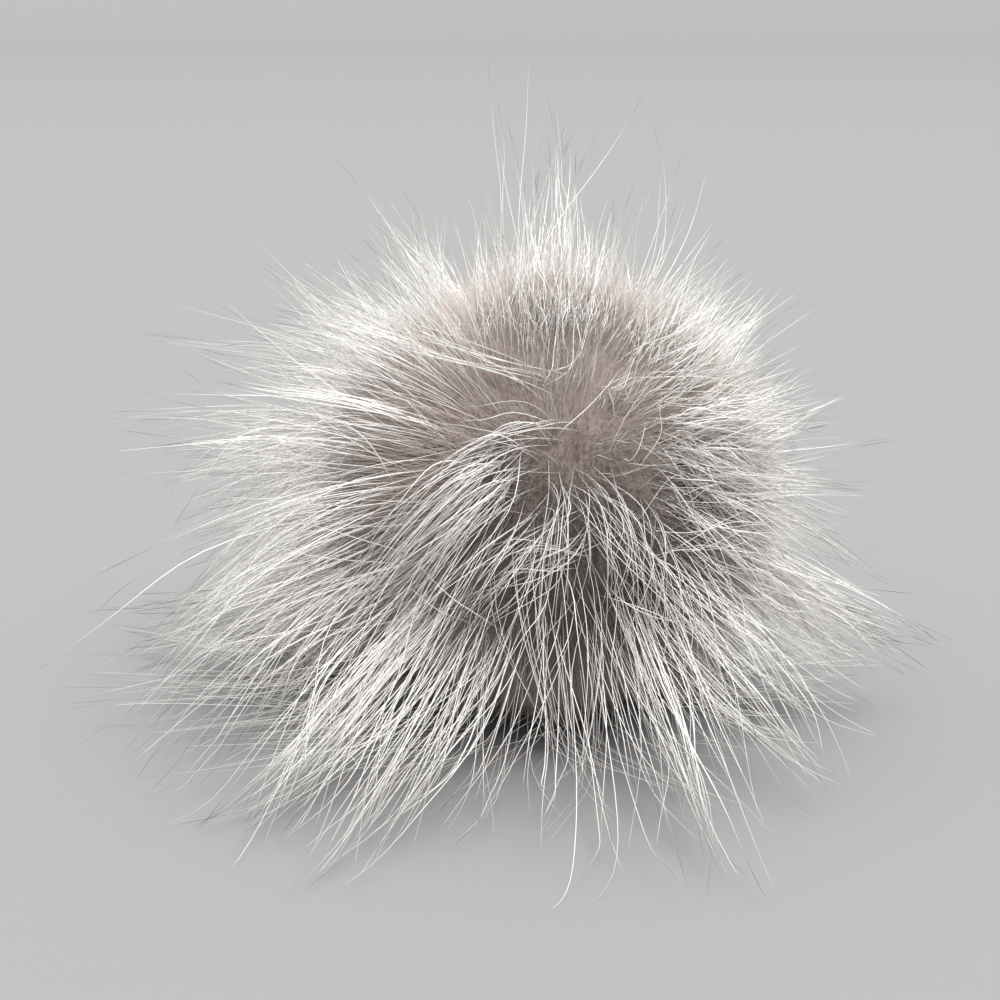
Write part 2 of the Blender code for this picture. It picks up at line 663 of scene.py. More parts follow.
class StrandMesher:
    """Joins strands into one mesh of closed, tapering tubes with three sides.

    A tube's bake map is one of COLUMNS, less a MAP_MARGIN of it to either side and a MAP_END above and below.
    Its base face is BASE_HEIGHT high on it. A strand that bends less than STRAIGHT is turned by SPARE_AXIS.
    """

    SIDES = 3
    COLUMNS = 32
    STRAIGHT = 0.05
    SPARE_AXIS = np.array((0.31, 0.83, 0.46))
    MAP_MARGIN = 0.1
    MAP_END = 0.002
    BASE_HEIGHT = 0.01

    def build(
        self, name: str, strands: Strands, middle: np.ndarray | None = None, softness: float = 0.0
    ) -> bpy.types.Object:
        """Make one object from strands.

        Args:
            name: The object's name.
            strands: What it is made of.
            middle: The middle of the ball that soft strands are shaded like.
            softness: How far they are shaded like it, and not like round strands: from 0 to 1.

        Returns:
            The new object, linked to the scene.
        """
        count, points = strands.radii.shape
        rings = points - 1
        places = self._rings(strands)
        corners, sizes = self._faces(count, rings)
        mesh = bpy.data.meshes.new(name)
        mesh.vertices.add(len(places))
        mesh.vertices.foreach_set("co", places.ravel())
        mesh.loops.add(len(corners))
        mesh.loops.foreach_set("vertex_index", corners)
        mesh.polygons.add(len(sizes))
        starts = np.concatenate(((0,), np.cumsum(sizes)[:-1]))
        mesh.polygons.foreach_set("loop_start", starts.astype(np.int32))
        layer = mesh.uv_layers.new(name=BAKE_MAP)
        layer.data.foreach_set("uv", self._map(strands, rings).ravel())
        mesh.update(calc_edges=True)
        mesh.shade_smooth()
        if softness > 0.0:
            own = np.empty(len(places) * 3, np.float32)
            mesh.vertex_normals.foreach_get("vector", own)
            outward = unit(places - middle)
            mesh.normals_split_custom_set_from_vertices(
                unit(own.reshape(-1, 3) * (1.0 - softness) + outward * softness)
            )
        return add_object(name, mesh)

    def _rings(self, strands: Strands) -> np.ndarray:
        """Corners of every ring, then the tip, strand after strand."""
        points = strands.points
        ways = unit(np.gradient(points, axis=1))
        side = np.cross(ways[:, 0], ways[:, -1])
        flat = np.linalg.norm(side, axis=1) < self.STRAIGHT
        side[flat] = np.cross(ways[flat, 0], self.SPARE_AXIS)
        side = side[:, None, :]
        across = unit(side - (side * ways).sum(-1, keepdims=True) * ways)
        upright = np.cross(ways, across)
        turns = (2.0 * np.pi * np.arange(self.SIDES) / self.SIDES)[:, None]
        spread = across[:, :-1, None] * np.cos(turns) + upright[:, :-1, None] * np.sin(turns)
        rings = points[:, :-1, None] + spread * strands.radii[:, :-1, None, None]
        flat_rings = rings.reshape(len(points), -1, 3)
        return np.concatenate((flat_rings, points[:, -1:]), axis=1).reshape(-1, 3)

    def _faces(self, count: int, rings: int) -> tuple[np.ndarray, np.ndarray]:
        """Corner numbers of every face, and how many corners each has."""
        corners, sizes = [], []
        for ring in range(rings - 1):
            for side in range(self.SIDES):
                near, far = ring * self.SIDES, (ring + 1) * self.SIDES
                after = (side + 1) % self.SIDES
                corners += [near + side, near + after, far + after, far + side]
                sizes.append(4)
        last, tip = (rings - 1) * self.SIDES, rings * self.SIDES
        for side in range(self.SIDES):
            corners += [last + side, last + (side + 1) % self.SIDES, tip]
            sizes.append(3)
        corners += list(range(self.SIDES))[::-1]
        sizes.append(self.SIDES)
        offsets = np.arange(count, dtype=np.int32) * (tip + 1)
        every = (np.array(corners, np.int32)[None, :] + offsets[:, None]).ravel()
        return every, np.tile(np.array(sizes, np.int32), count)

    def _map(self, strands: Strands, rings: int) -> np.ndarray:
        """Bake map: a strand's own column across, and from its root to its tip upwards."""
        width = 1.0 / self.COLUMNS
        lengths = np.linalg.norm(np.diff(strands.points, axis=1), axis=2)
        along = np.concatenate((np.zeros((len(strands), 1)), np.cumsum(lengths, axis=1)), axis=1)
        along = along / along[:, -1:]
        left = np.floor(strands.column * self.COLUMNS).clip(0, self.COLUMNS - 1) * width
        across, upward = [], []
        for ring in range(rings - 1):
            for side in range(self.SIDES):
                across += [side, side + 1, side + 1, side]
                upward += [ring, ring, ring + 1, ring + 1]
        for side in range(self.SIDES):
            across += [side, side + 1, side + 0.5]
            upward += [rings - 1, rings - 1, rings]
        across += [self.SIDES, self.SIDES / 2.0, 0.0]
        upward += [0, 0, 0]
        inner = 1.0 - 2.0 * self.MAP_MARGIN
        u = left[:, None] + width * (self.MAP_MARGIN + inner * np.array(across) / self.SIDES)[None, :]
        v = along[:, upward]
        v[:, -2] += self.BASE_HEIGHT
        return np.stack((u, self.MAP_END + (1.0 - 2.0 * self.MAP_END) * v), axis=-1)


class HairShadeGroup:
    """Node group that colours a strand from its root to its tip, shared by every hair material."""

    NAME = "Strand colour along its length"
    NUMBERS = ("Along", "Shade", "Tip Strength", "Root End", "Tip Start", "Shade Range")
    COLORS = ("Root Color", "Shaft Color", "Tip Color")

    def build(self) -> bpy.types.NodeTree:
        """Make the group once, and return it."""
        if self.NAME in bpy.data.node_groups:
            return bpy.data.node_groups[self.NAME]
        tree = bpy.data.node_groups.new(self.NAME, "ShaderNodeTree")
        for name in self.NUMBERS:
            tree.interface.new_socket(name, in_out="INPUT", socket_type="NodeSocketFloat")
        for name in self.COLORS:
            tree.interface.new_socket(name, in_out="INPUT", socket_type="NodeSocketColor")
        tree.interface.new_socket("Color", in_out="OUTPUT", socket_type="NodeSocketColor")
        given, result = tree.nodes.new("NodeGroupInput"), tree.nodes.new("NodeGroupOutput")
        along, shade, tip_strength, root_end, tip_start, shade_range, root, shaft, tip = (
            given.outputs[name] for name in self.NUMBERS + self.COLORS
        )
        smooth = {"interpolation_type": "SMOOTHSTEP"}
        rise = add_node(tree, "MapRange", {"Value": along, "From Max": root_end}, **smooth)
        plain = mix_colors(tree, rise.outputs["Result"], root, shaft)
        darker = add_node(tree, "MapRange", {"Value": shade, "To Min": shade_range, "To Max": 1.0})
        scaled = {0: plain, "Scale": darker.outputs["Result"]}
        shaded = add_node(tree, "VectorMath", scaled, operation="SCALE")
        fall = add_node(tree, "MapRange", {"Value": along, "From Min": tip_start}, **smooth)
        strength = calculate(tree, "MULTIPLY", fall.outputs["Result"], tip_strength)
        feed(tree, result, {"Color": mix_colors(tree, strength, shaded.outputs["Vector"], tip)})
        return tree


@dataclass(frozen=True)
class StrandFinish:
    """Finish of strands, read from their bake map.

    Attributes:
        name: The material's name.
        root, shaft, tip: Colours at the root, of the shaft, and that dark tips fade to.
        root_end, tip_start: Where along a strand its root colour has gone, and its tip colour starts.
        darkest: How dark the darkest strand is beside the palest.
        roughness, specular: Roughness of the surface, and how strong its highlights are.
    """

    name: str
    root: Color
    shaft: Color
    tip: Color
    root_end: float
    tip_start: float
    darkest: float
    roughness: float
    specular: float

    def build(self) -> bpy.types.Material:
        """Make the material."""
        material, shader = new_material(self.name, self.roughness, self.specular)
        tree = material.node_tree
        place = add_node(tree, "UVMap", {}, uv_map=BAKE_MAP)
        split = add_node(tree, "SeparateXYZ", {0: place.outputs["UV"]})
        quarters = calculate(tree, "MULTIPLY", split.outputs["X"], float(len(TipTone)))
        kind = calculate(tree, "FLOOR", quarters)
        feeds = {
            "Along": split.outputs["Y"],
            "Shade": calculate(tree, "FRACT", quarters),
            "Tip Strength": calculate(tree, "DIVIDE", kind, float(len(TipTone) - 1)),
            "Root End": self.root_end,
            "Tip Start": self.tip_start,
            "Shade Range": self.darkest,
            "Root Color": self.root,
            "Shaft Color": self.shaft,
            "Tip Color": self.tip,
        }
        group = add_node(tree, "Group", feeds, node_tree=HairShadeGroup().build())
        feed(tree, shader, {"Base Color": group.outputs["Color"]})
        return material


# The underfur's darker root colour is painted shade deep in the fluff.
UNDERFUR_FINISH = StrandFinish(
    name="underfur",
    root=(0.500, 0.402, 0.353, 1.0),
    shaft=(0.604, 0.512, 0.457, 1.0),
    tip=(0.682, 0.604, 0.550, 1.0),
    root_end=0.5,
    tip_start=0.6,
    darkest=0.22,
    roughness=0.75,
    specular=0.15,
)
GUARD_FINISH = StrandFinish(
    name="guard_hair",
    root=(0.500, 0.445, 0.415, 1.0),
    shaft=(0.965, 0.943, 0.917, 1.0),
    tip=(0.030, 0.027, 0.029, 1.0),
    root_end=0.42,
    tip_start=0.60,
    darkest=0.70,
    roughness=0.38,
    specular=0.50,
)
FACE_FINISH = replace(GUARD_FINISH, name="face_hair", root_end=0.14, tip_start=0.66)


@dataclass(frozen=True)
class UnderfurBodyFinish:
    """Finish of the closed body under the fluff: streaked taupe, finely rough, and dark with painted shade.

    Attributes:
        name: The material's name.
        dark, light: Its darkest and its lightest colour.
        streak_scale, streak_detail, cloud_scale: How fine its streaks are, how detailed, and its clouds.
        bump: How deep its streaks are.
        roughness, specular: Roughness of the surface, and how strong its highlights are.
    """

    name: str = "underfur_body"
    # Both colours are darker than the fluff's, as painted shade between the strands; the streaks and clouds
    # mixing them are its own tone.
    dark: Color = (0.225, 0.178, 0.160, 1.0)
    light: Color = (0.325, 0.270, 0.243, 1.0)
    streak_scale: float = 1040.0
    streak_detail: float = 3.0
    cloud_scale: float = 55.0
    bump: float = 0.0006
    roughness: float = 0.9
    specular: float = 0.1

    def build(self) -> bpy.types.Material:
        """Make the material."""
        material, shader = new_material(self.name, self.roughness, self.specular)
        tree = material.node_tree
        place = add_node(tree, "TexCoord", {}).outputs["Object"]
        fine = {"Vector": place, "Scale": self.streak_scale, "Detail": self.streak_detail}
        streaks = add_node(tree, "TexNoise", fine).outputs["Fac"]
        clouds = add_node(tree, "TexNoise", {"Vector": place, "Scale": self.cloud_scale}).outputs["Fac"]
        both = calculate(tree, "MULTIPLY_ADD", streaks, 0.5, calculate(tree, "MULTIPLY", clouds, 0.5))
        bump = add_node(tree, "Bump", {"Distance": self.bump, "Height": streaks})
        color = mix_colors(tree, both, self.dark, self.light)
        feed(tree, shader, {"Base Color": color, "Normal": bump.outputs["Normal"]})
        return material


@dataclass
class UnderfurBody:
    """The soft closed body of the ball, which the fluff covers.

    Attributes:
        ball: The ball.
        level: Subdivision of the icosphere.
        lumps: How far its surface rises and falls.
        lump_size: How large one lump is.
        clearance: How far it stays above the floor.
    """

    ball: Ball
    level: int = 6
    lumps: float = 0.0010
    lump_size: float = 0.007
    clearance: float = 0.0006

    def build(self) -> bpy.types.Object:
        """Make the body as an icosphere with soft lumps, pressed flat on the floor."""
        mesh = bmesh.new()
        bmesh.ops.create_icosphere(mesh, subdivisions=self.level, radius=self.ball.body_radius)
        bmesh.ops.translate(mesh, verts=mesh.verts[:], vec=self.ball.centre)
        centre = Vector(self.ball.centre)
        for vert in mesh.verts:
            out = (vert.co - centre).normalized()
            vert.co += out * self.lumps * noise.noise(vert.co / self.lump_size)
            vert.co.z = max(vert.co.z, self.clearance)
        return add_smooth_object("underfur_body", mesh, UnderfurBodyFinish().build())


@dataclass(frozen=True)
class UnderfurToneAndPaintedLight:
    """How pale the fluff is over the ball, from 0 for the darkest to 1 for the palest, with painted light and
    shade.

    Attributes:
        ball: The ball.
        base: On the crown.
        cloud, clouds: How far its own tone drifts, and how over the ball.
        off_crown: Painted light added away from the crown, on the flanks that the guard hair shades, by the
            angle from it.
        low: Painted light added low down, by height.
        painted_shade_spot: Azimuth and elevation of the spot where the painted shade is darkest, low on the
            face.
        painted_hollow_shade: Painted shade added near that spot, by the angle from it.
        left, right, sides: Painted light added on either side, by the distance to the right, and from which
            height up.
        top, top_off: Painted shade added on top under the strongest light, by height, and from which angle
            from the crown.
        tip_least, tips_out_of_painted_shade: How much tips differ, and what is added away from the darkest
            painted shade, where pale tips are fewer.
    """

    ball: Ball
    base: float = 0.275
    cloud: float = 0.05
    clouds: Drift = Drift(seed=21, fineness=7.0)
    off_crown: Ramp = Ramp(32.0, 72.0, 0.70)
    low: Ramp = Ramp(0.10, -0.20, 0.08)
    painted_shade_spot: tuple[float, float] = (13.0, -13.0)
    painted_hollow_shade: Ramp = Ramp(50.0, 14.0, -0.30)
    left: Ramp = Ramp(-0.10, -0.45, 0.42)
    right: Ramp = Ramp(0.20, 0.60, 0.12)
    sides: Ramp = Ramp(-0.3, 0.1)
    top: Ramp = Ramp(0.62, 0.86, -0.22)
    top_off: Ramp = Ramp(15.0, 40.0)
    tips_out_of_painted_shade: Ramp = Ramp(16.0, 48.0, 0.80)
    tip_least: float = 0.20

    def at(self, roots: np.ndarray, own: np.ndarray) -> np.ndarray:
        """Shades of strands: their own tone, with painted light and painted shade.

        Args:
            roots: Unit vectors from the ball's middle to their roots.
            own: How each strand differs from the rest.

        Returns:
            The shades.
        """
        off_crown = self.ball.crown_angle(roots)
        shade = self.base + self.cloud * self.clouds.at(roots) + own
        # Painted light away from the crown, low down and on either side; painted shade near the darkest spot
        # and on top.
        shade = shade + self.off_crown.at(off_crown)
        shade = shade + self.low.at(roots[:, 2])
        shade = shade + self.painted_hollow_shade.at(degrees_between(roots, direction(*self.painted_shade_spot)))
        shade = shade + (self.left.at(roots[:, 0]) + self.right.at(roots[:, 0])) * self.sides.at(roots[:, 2])
        return shade + self.top.at(roots[:, 2]) * self.top_off.at(off_crown)

    def tip_range(self, roots: np.ndarray) -> np.ndarray:
        """How much the tips at each root differ, from 0 to 1: least near the darkest painted shade, where
        pale tips would light it.
        """
        return self.tip_least + self.tips_out_of_painted_shade.at(degrees_between(roots, direction(*self.painted_shade_spot)))


@dataclass
class Underfur:
    """The fine, dense fluff of the ball.

    Attributes:
        growth: What grows its strands.
        count, segments: How many strands it has, and stretches in one.
        jitter: How unevenly they stand, in spacings.
        depth, depth_spread: How far their roots are under the closed body's surface, and how it differs.
        length, shortest, longer: Usual length, share of it that all have, and share that the longest add.
        longer_power: How few are much longer.
        shorter_off_crown: How much shorter they are away from the crown, by the angle from it.
        lean_share: Share of the guard hair's lean that they take.
        sway, bend: How far single strands do.
        floor_heights: How high they lie on the floor, at least and at most.
        taper: Thickness of a strand.
        shade_spread: How far the shades of single strands differ.
        seed: Seed of its random draws.
    """

    growth: Growth
    count: int = 48000
    segments: int = 2
    jitter: float = 0.5
    depth: float = 0.0012
    depth_spread: float = 0.0006
    length: float = 0.0074
    shortest: float = 0.6
    longer: float = 0.9
    longer_power: float = 2.0
    shorter_off_crown: Ramp = Ramp(50.0, 85.0, 0.35)
    lean_share: float = 0.6
    sway: float = 0.26
    bend: float = 24.0
    floor_heights: tuple[float, float] = (LOWEST_HAIR, 0.002)
    taper: Taper = Taper(thickness=0.00011, root_share=1.0, tip_share=0.3, fullest=0.3)
    shade_spread: float = 0.045
    seed: int = 3

    def strands(self) -> Strands:
        """Grow the fluff."""
        rng, count, ball = np.random.default_rng(self.seed), self.count, self.growth.ball
        roots = even_directions(count, self.jitter, rng)
        radius = ball.body_radius - self.depth + rng.uniform(-self.depth_spread, self.depth_spread, count)
        length = self.length * (self.shortest + self.longer * rng.random(count) ** self.longer_power)
        length = length * (1.0 - self.shorter_off_crown.at(ball.crown_angle(roots)))
        sway = rng.normal(0.0, self.sway, (count, 3))
        bend = rng.normal(0.0, self.bend, (count, 3))
        floor = rng.uniform(*self.floor_heights, count)
        places = self.growth.grow(roots, radius, length, sway, bend, floor, self.lean_share)
        picked = np.linspace(0, self.growth.steps, self.segments + 1).round().astype(int)
        radii = np.tile(self.taper.radii(picked / self.growth.steps), (count, 1))
        # Each strand's shade carries painted light and painted shade over the ball, and fewer pale tips where
        # the painted shade is darkest.
        shading = UnderfurToneAndPaintedLight(ball)
        shade = shading.at(roots, rng.normal(0.0, self.shade_spread, count))
        kinds = (rng.integers(0, len(TipTone), count) * shading.tip_range(roots)).round()
        column = (kinds + np.clip(shade, 0.0, 0.999)) / len(TipTone)
        return Strands(places[:, picked], radii, column)


@dataclass(frozen=True)
class Coat:
    """How thickly guard hair grows over the ball: the full coat, less what each of these takes away.

    Attributes:
        ball: The ball.
        dome, bare, bare_lack: Azimuth and elevation of the middle of the almost bare dome, how bare it is by
            the angle from there, and what it takes away.
        face, face_lack: The same for the face, which has its own tresses.
        band, band_end: Where the band around the crown starts and ends, by the angle from the crown.
        band_lack, band_side_lack: What it takes away, and what it adds to that on the sides, by the clock
            angle from the top.
        band_right: What it leaves of that on the right, by the distance to the right.
        top_lack, top_end: What the top takes away, by the clock angle from the top, and where it ends, by the
            angle from the crown.
        low, low_lack, under: The low front, by height, what it takes away, and leaves of that near the floor.
        front: Where the front starts, by the distance to the back.
    """

    ball: Ball
    dome: tuple[float, float] = (-2.0, 41.0)
    bare: Ramp = Ramp(33.0, 12.0)
    bare_lack: float = 0.88
    face: tuple[float, float] = (6.0, 0.0)
    face_lack: Ramp = Ramp(50.0, 30.0, 0.86)
    band: Ramp = Ramp(40.0, 60.0)
    band_end: Ramp = Ramp(88.0, 73.0)
    band_lack: float = 0.42
    band_side_lack: Ramp = Ramp(35.0, 65.0, 0.32)
    band_right: Ramp = Ramp(0.45, 0.75, 0.75)
    top_lack: Ramp = Ramp(50.0, 25.0, 0.48)
    top_end: Ramp = Ramp(90.0, 79.0)
    low: Ramp = Ramp(0.05, -0.20)
    low_lack: float = 0.82
    under: Ramp = Ramp(-0.45, -0.60, 0.46)
    front: Ramp = Ramp(0.1, -0.35)

    def bareness(self, roots: np.ndarray) -> np.ndarray:
        """How much of the dome's bareness there is at each root, from 0 to 1."""
        return self.bare.at(degrees_between(roots, direction(*self.dome)))

    def thickness(self, roots: np.ndarray) -> np.ndarray:
        """Share of the full coat that grows at each root, from 0 to 1."""
        off_crown, from_top = self.ball.crown_angle(roots), off_top(self.ball.clock(roots))
        dome = 1.0 - self.bare_lack * self.bareness(roots)
        face = 1.0 - self.face_lack.at(degrees_between(roots, direction(*self.face)))
        lack = (self.band_lack + self.band_side_lack.at(from_top)) * (1.0 - self.band_right.at(roots[:, 0]))
        band = 1.0 - lack * self.band.at(off_crown) * self.band_end.at(off_crown)
        top = 1.0 - self.top_lack.at(from_top) * self.top_end.at(off_crown)
        lack = (self.low_lack - self.under.at(roots[:, 2])) * self.low.at(roots[:, 2])
        low = 1.0 - lack * self.front.at(roots[:, 1])
        return dome * face * low * band * top


@dataclass
class GuardHair:
    """The long hair all round the ball, in locks that come to points.

    Two values are the least and the most, or what hairs in a lock have and what loose hairs have.

    Attributes:
        growth: What grows its strands.
        room: The space that it may fill.
        locks, lock_jitter: How many locks there are, and how unevenly they stand, in spacings.
        lock_lengths: Share of the coat's length that they have.
        lock_sway, lock_bend, lock_floors: How far they sway and bend, and how high they lie on the floor.
        gather, gather_spread: How closely hairs come to their lock, and the share of it that single hairs do.
        closest, apart, dome_apart: How closely any hair does, and a loose one, and how much less on the dome.
        gathered: How far along their lock hairs have come to it.
        count, jitter: How many hairs a full coat has, and how unevenly they stand, in spacings.
        segments, crowding: Stretches in one hair, and how much denser they are near the root.
        fewest, finest, fuller: Share of the hairs in the thinnest coat, how thick they are beside the usual,
            and how much thicker in a full coat.
        front_share, behind: Share of the hairs in front, and the rest, by the angle from the crown.
        on_dome: Share of the full coat's hairs that the bare dome has on top.
        pressed: Where the ball rests and has no guard hair, by height.
        shorter, shorter_power: How much shorter than their lock hairs are at most, and how few are.
        long_share, longer: Share of the hairs that are longer than their lock, and how much.
        loose_share: Share of the hairs that are loose.
        hair_sway, hair_bend, floor_spread: How far hairs sway, bend and lie on the floor off their lock.
        taper, thickness: Thickness of a hair, and of single hairs beside that.
        pale_tones, dark_tones, dark_locks: Share of the hairs of a pale and of a dark lock that end in each
            tone, and of the locks that are dark.
        crimp: The waves of single hairs.
        seed: Seed of its random draws.
    """

    growth: Growth
    room: Room
    locks: int = 320
    lock_jitter: float = 0.32
    lock_lengths: tuple[float, float] = (0.80, 1.22)
    lock_sway: float = 0.20
    lock_bend: float = 6.0
    lock_floors: tuple[float, float] = (0.0005, 0.006)
    gather: tuple[float, float] = (0.93, 1.0)
    gather_spread: tuple[float, float] = (0.88, 1.05)
    closest: float = 0.98
    apart: float = 0.1
    dome_apart: float = 0.85
    gathered: Ramp = Ramp(0.0, 0.85)
    count: int = 8200
    jitter: float = 0.5
    segments: int = 9
    crowding: float = 1.2
    fewest: float = 0.20
    finest: float = 0.42
    fuller: float = 0.58
    front_share: float = 0.80
    behind: Ramp = Ramp(92.0, 115.0, 0.20)
    on_dome: float = 0.30
    pressed: Ramp = Ramp(-0.70, -0.85)
    shorter: float = 0.45
    shorter_power: float = 1.5
    long_share: float = 0.05
    longer: float = 1.3
    loose_share: float = 0.17
    hair_sway: tuple[float, float] = (0.09, 0.30)
    hair_bend: tuple[float, float] = (5.0, 13.0)
    floor_spread: float = 0.0008
    taper: Taper = Taper(thickness=0.00021, root_share=0.45, tip_share=0.36, fullest=0.35)
    thickness: tuple[float, float] = (0.7, 1.15)
    pale_tones: tuple[float, ...] = (0.34, 0.28, 0.24, 0.14)
    dark_tones: tuple[float, ...] = MOSTLY_DARK
    dark_locks: float = 0.12
    crimp: Crimp = Crimp()
    seed: int = 7

    def strands(self) -> Strands:
        """Grow the locks, and gather the hairs into them."""
        rng, ball, steps = np.random.default_rng(self.seed), self.growth.ball, self.growth.steps
        lock_roots = even_directions(self.locks, self.lock_jitter, rng)
        lock_length = self.growth.combing.length(ball, lock_roots)
        lock_length = lock_length * rng.uniform(*self.lock_lengths, self.locks)
        lock_sway = rng.normal(0.0, self.lock_sway, (self.locks, 3))
        lock_bend = rng.normal(0.0, self.lock_bend, (self.locks, 3))
        lock_floor = rng.uniform(*self.lock_floors, self.locks)
        radius = np.full(self.locks, ball.skin_radius)
        guides = self.growth.grow(lock_roots, radius, lock_length, lock_sway, lock_bend, lock_floor)
        lock_gather = rng.uniform(*self.gather, self.locks)

        roots, coat, bare = self._roots(rng)
        count = len(roots)
        lock = np.argmax(roots @ lock_roots.T, axis=1)
        share = 1.0 - self.shorter * rng.random(count) ** self.shorter_power
        share = share * np.where(rng.random(count) < self.long_share, self.longer, 1.0)
        loose = rng.random(count) < self.loose_share
        sway = lock_sway[lock] + self._own(rng, loose, self.hair_sway)
        bend = lock_bend[lock] + self._own(rng, loose, self.hair_bend)
        floor = np.maximum(LOWEST_HAIR, lock_floor[lock] + rng.normal(0.0, self.floor_spread, count))
        radius = np.full(count, ball.skin_radius)
        places = self.growth.grow(roots, radius, lock_length[lock] * share, sway, bend, floor)

        along = np.linspace(0.0, 1.0, steps + 1)
        beside = self._beside(guides[lock], share[:, None] * along)
        hold = np.minimum(lock_gather[lock] * rng.uniform(*self.gather_spread, count), self.closest)
        hold = np.where(loose | (share > 1.0), self.apart, hold) * (1.0 - self.dome_apart * bare)
        pull = hold[:, None] * self.gathered.at(share[:, None] * along)
        places = places + pull[..., None] * (beside - places)
        places = places + self.crimp.offsets(rng, count, along[None, :])
        places = ball.keep_out(places, np.tile(along, (count, 1)))
        places[..., 2] = np.maximum(places[..., 2], LOWEST_HAIR)
        places = self.room.fit(relaxed(places, rounds=2))

        spots = (np.linspace(0.0, 1.0, self.segments + 1) ** self.crowding * steps).round().astype(int)
        radii = np.tile(self.taper.radii(spots / steps), (count, 1))
        radii *= ((self.finest + self.fuller * coat) * rng.uniform(*self.thickness, count))[:, None]
        pale = hair_columns(rng, count, self.pale_tones)
        dark = hair_columns(rng, count, self.dark_tones)
        is_dark = (rng.random(self.locks) < self.dark_locks)[lock] | (share > 1.0)
        return Strands(relaxed(places[:, spots], rounds=1), radii, np.where(is_dark, dark, pale))

    def _roots(self, rng: np.random.Generator) -> tuple[np.ndarray, np.ndarray, np.ndarray]:
        """Choose where hairs grow.

        Args:
            rng: Source of the choice.

        Returns:
            Unit vectors to the roots, and how thick and how bare the coat is there.
        """
        ball = self.growth.ball
        coat = Coat(ball)
        roots = even_directions(self.count, self.jitter, rng)
        thickness, bare = coat.thickness(roots), coat.bareness(roots)
        kept = (self.fewest + (1.0 - self.fewest) * thickness) * (
            self.front_share + self.behind.at(ball.crown_angle(roots))
        )
        kept = (kept + self.on_dome * bare) * (1.0 - self.pressed.at(roots[:, 2]))
        keep = rng.random(self.count) < kept
        return roots[keep], thickness[keep], bare[keep]

    @staticmethod
    def _own(rng: np.random.Generator, loose: np.ndarray, spread: tuple[float, float]) -> np.ndarray:
        """How each hair differs from its lock.

        Args:
            rng: Source of the differences.
            loose: Which hairs are loose.
            spread: How much hairs in a lock and loose hairs differ.

        Returns:
            One vector a hair.
        """
        return rng.normal(0.0, 1.0, (len(loose), 3)) * np.where(loose, spread[1], spread[0])[:, None]

    @staticmethod
    def _beside(guides: np.ndarray, along: np.ndarray) -> np.ndarray:
        """Find places on guides.

        Args:
            guides: One guide a hair, shaped (hairs, points, 3).
            along: How far along its guide each point of each hair is.

        Returns:
            The places, of which none is past the guide's tip.
        """
        steps = guides.shape[1] - 1
        where = np.minimum(along, 1.0) * steps
        low = np.minimum(where.astype(int), steps - 1)
        part = (where - low)[..., None]
        rows = np.arange(len(guides))[:, None]
        return guides[rows, low] * (1.0 - part) + guides[rows, low + 1] * part


def hair_columns(rng: np.random.Generator, count: int, tones: tuple[float, ...]) -> np.ndarray:
    """Choose the columns of the bake map for guard hairs: how dark each one's tip is, and how pale it is.

    Args:
        rng: Source of the choice.
        count: How many hairs there are.
        tones: Share of the hairs that end in each tone.

    Returns:
        Columns from 0 to 1.
    """
    kinds = rng.choice(len(TipTone), count, p=tones)
    return (kinds + rng.uniform(0.0, 0.999, count) ** 0.5) / len(TipTone)


@dataclass(frozen=True)
class Sight:
    """The line of sight on the ball's face, along which the locks of the face are laid out.

    A spot on the face is given to the right of, above and in front of the ball's middle, as it looks from the
    front at the scale of the ball's middle.

    Attributes:
        ball: The ball.
        pitch_deg: How far the sight looks down.
        distance: From the eye to the plane of the ball's middle.
    """

    ball: Ball
    pitch_deg: float = 16.0
    distance: float = 0.290

    def right(self) -> np.ndarray:
        """Unit vector to the right."""
        return np.array((1.0, 0.0, 0.0))

    def up(self) -> np.ndarray:
        """Unit vector up across the sight."""
        pitch = math.radians(self.pitch_deg)
        return np.array((0.0, math.sin(pitch), math.cos(pitch)))

    def toward(self) -> np.ndarray:
        """Unit vector back to the eye."""
        pitch = math.radians(self.pitch_deg)
        return np.array((0.0, -math.cos(pitch), math.sin(pitch)))

    def place(self, spots: np.ndarray, floor_height: float) -> np.ndarray:
        """Turn spots on the face into places, brought forward where they would be under the floor.

        Args:
            spots: Distances to the right, up and towards the eye, along the last axis.
            floor_height: How high a place has to be.

        Returns:
            Places along the last axis.
        """
        across, above, near = spots[..., 0], spots[..., 1], spots[..., 2]
        middle, lift, rise = self.ball.centre[2], self.toward()[2], self.up()[2] * above
        least = (floor_height - middle - rise) / (lift - rise / self.distance)
        sunk = middle + rise * (1.0 - near / self.distance) + lift * near < floor_height
        near = np.where(sunk, least, near)
        scale = 1.0 - near / self.distance
        across, above, near = (across * scale)[..., None], (above * scale)[..., None], near[..., None]
        return self.ball.middle() + across * self.right() + above * self.up() + near * self.toward()

    def root(self, spots: np.ndarray) -> np.ndarray:
        """Places on the front of the skin for spots that have only distances to the right and up."""
        near = np.sqrt(np.maximum(self.ball.skin_radius**2 - (spots**2).sum(axis=-1), 0.0))
        return self.place(np.concatenate((spots, near[..., None]), axis=-1), 0.0)


class Way(NamedTuple):
    """One hair's way over the face: millimetres to the right, up and towards the eye, as Sight has them."""

    root: tuple[float, float]
    middle: tuple[float, float, float]
    tip: tuple[float, float, float]


@dataclass(frozen=True)
class Tress:
    """Hair that fills the space between ways over the face, from each to the next.

    Attributes:
        hairs: How many hairs it has.
        locks: How many locks its tips gather into.
        ways: The ways, side by side.
        gather: How closely they gather.
        late: How far along its way a hair may come out of the underfur.
        stray: How far hairs go out of their way, in millimetres.
        shortest: Share of the full length that the shortest hair has.
        thickness: How thick its hairs are beside the usual.
        tones: Share of its hairs that end in each tone.
    """

    hairs: int
    locks: int
    ways: tuple[Way, ...]
    gather: float = 0.6
    late: float = 0.1
    stray: float = 1.5
    shortest: float = 0.66
    thickness: float = 1.0
    tones: tuple[float, ...] = (0.32, 0.27, 0.24, 0.17)


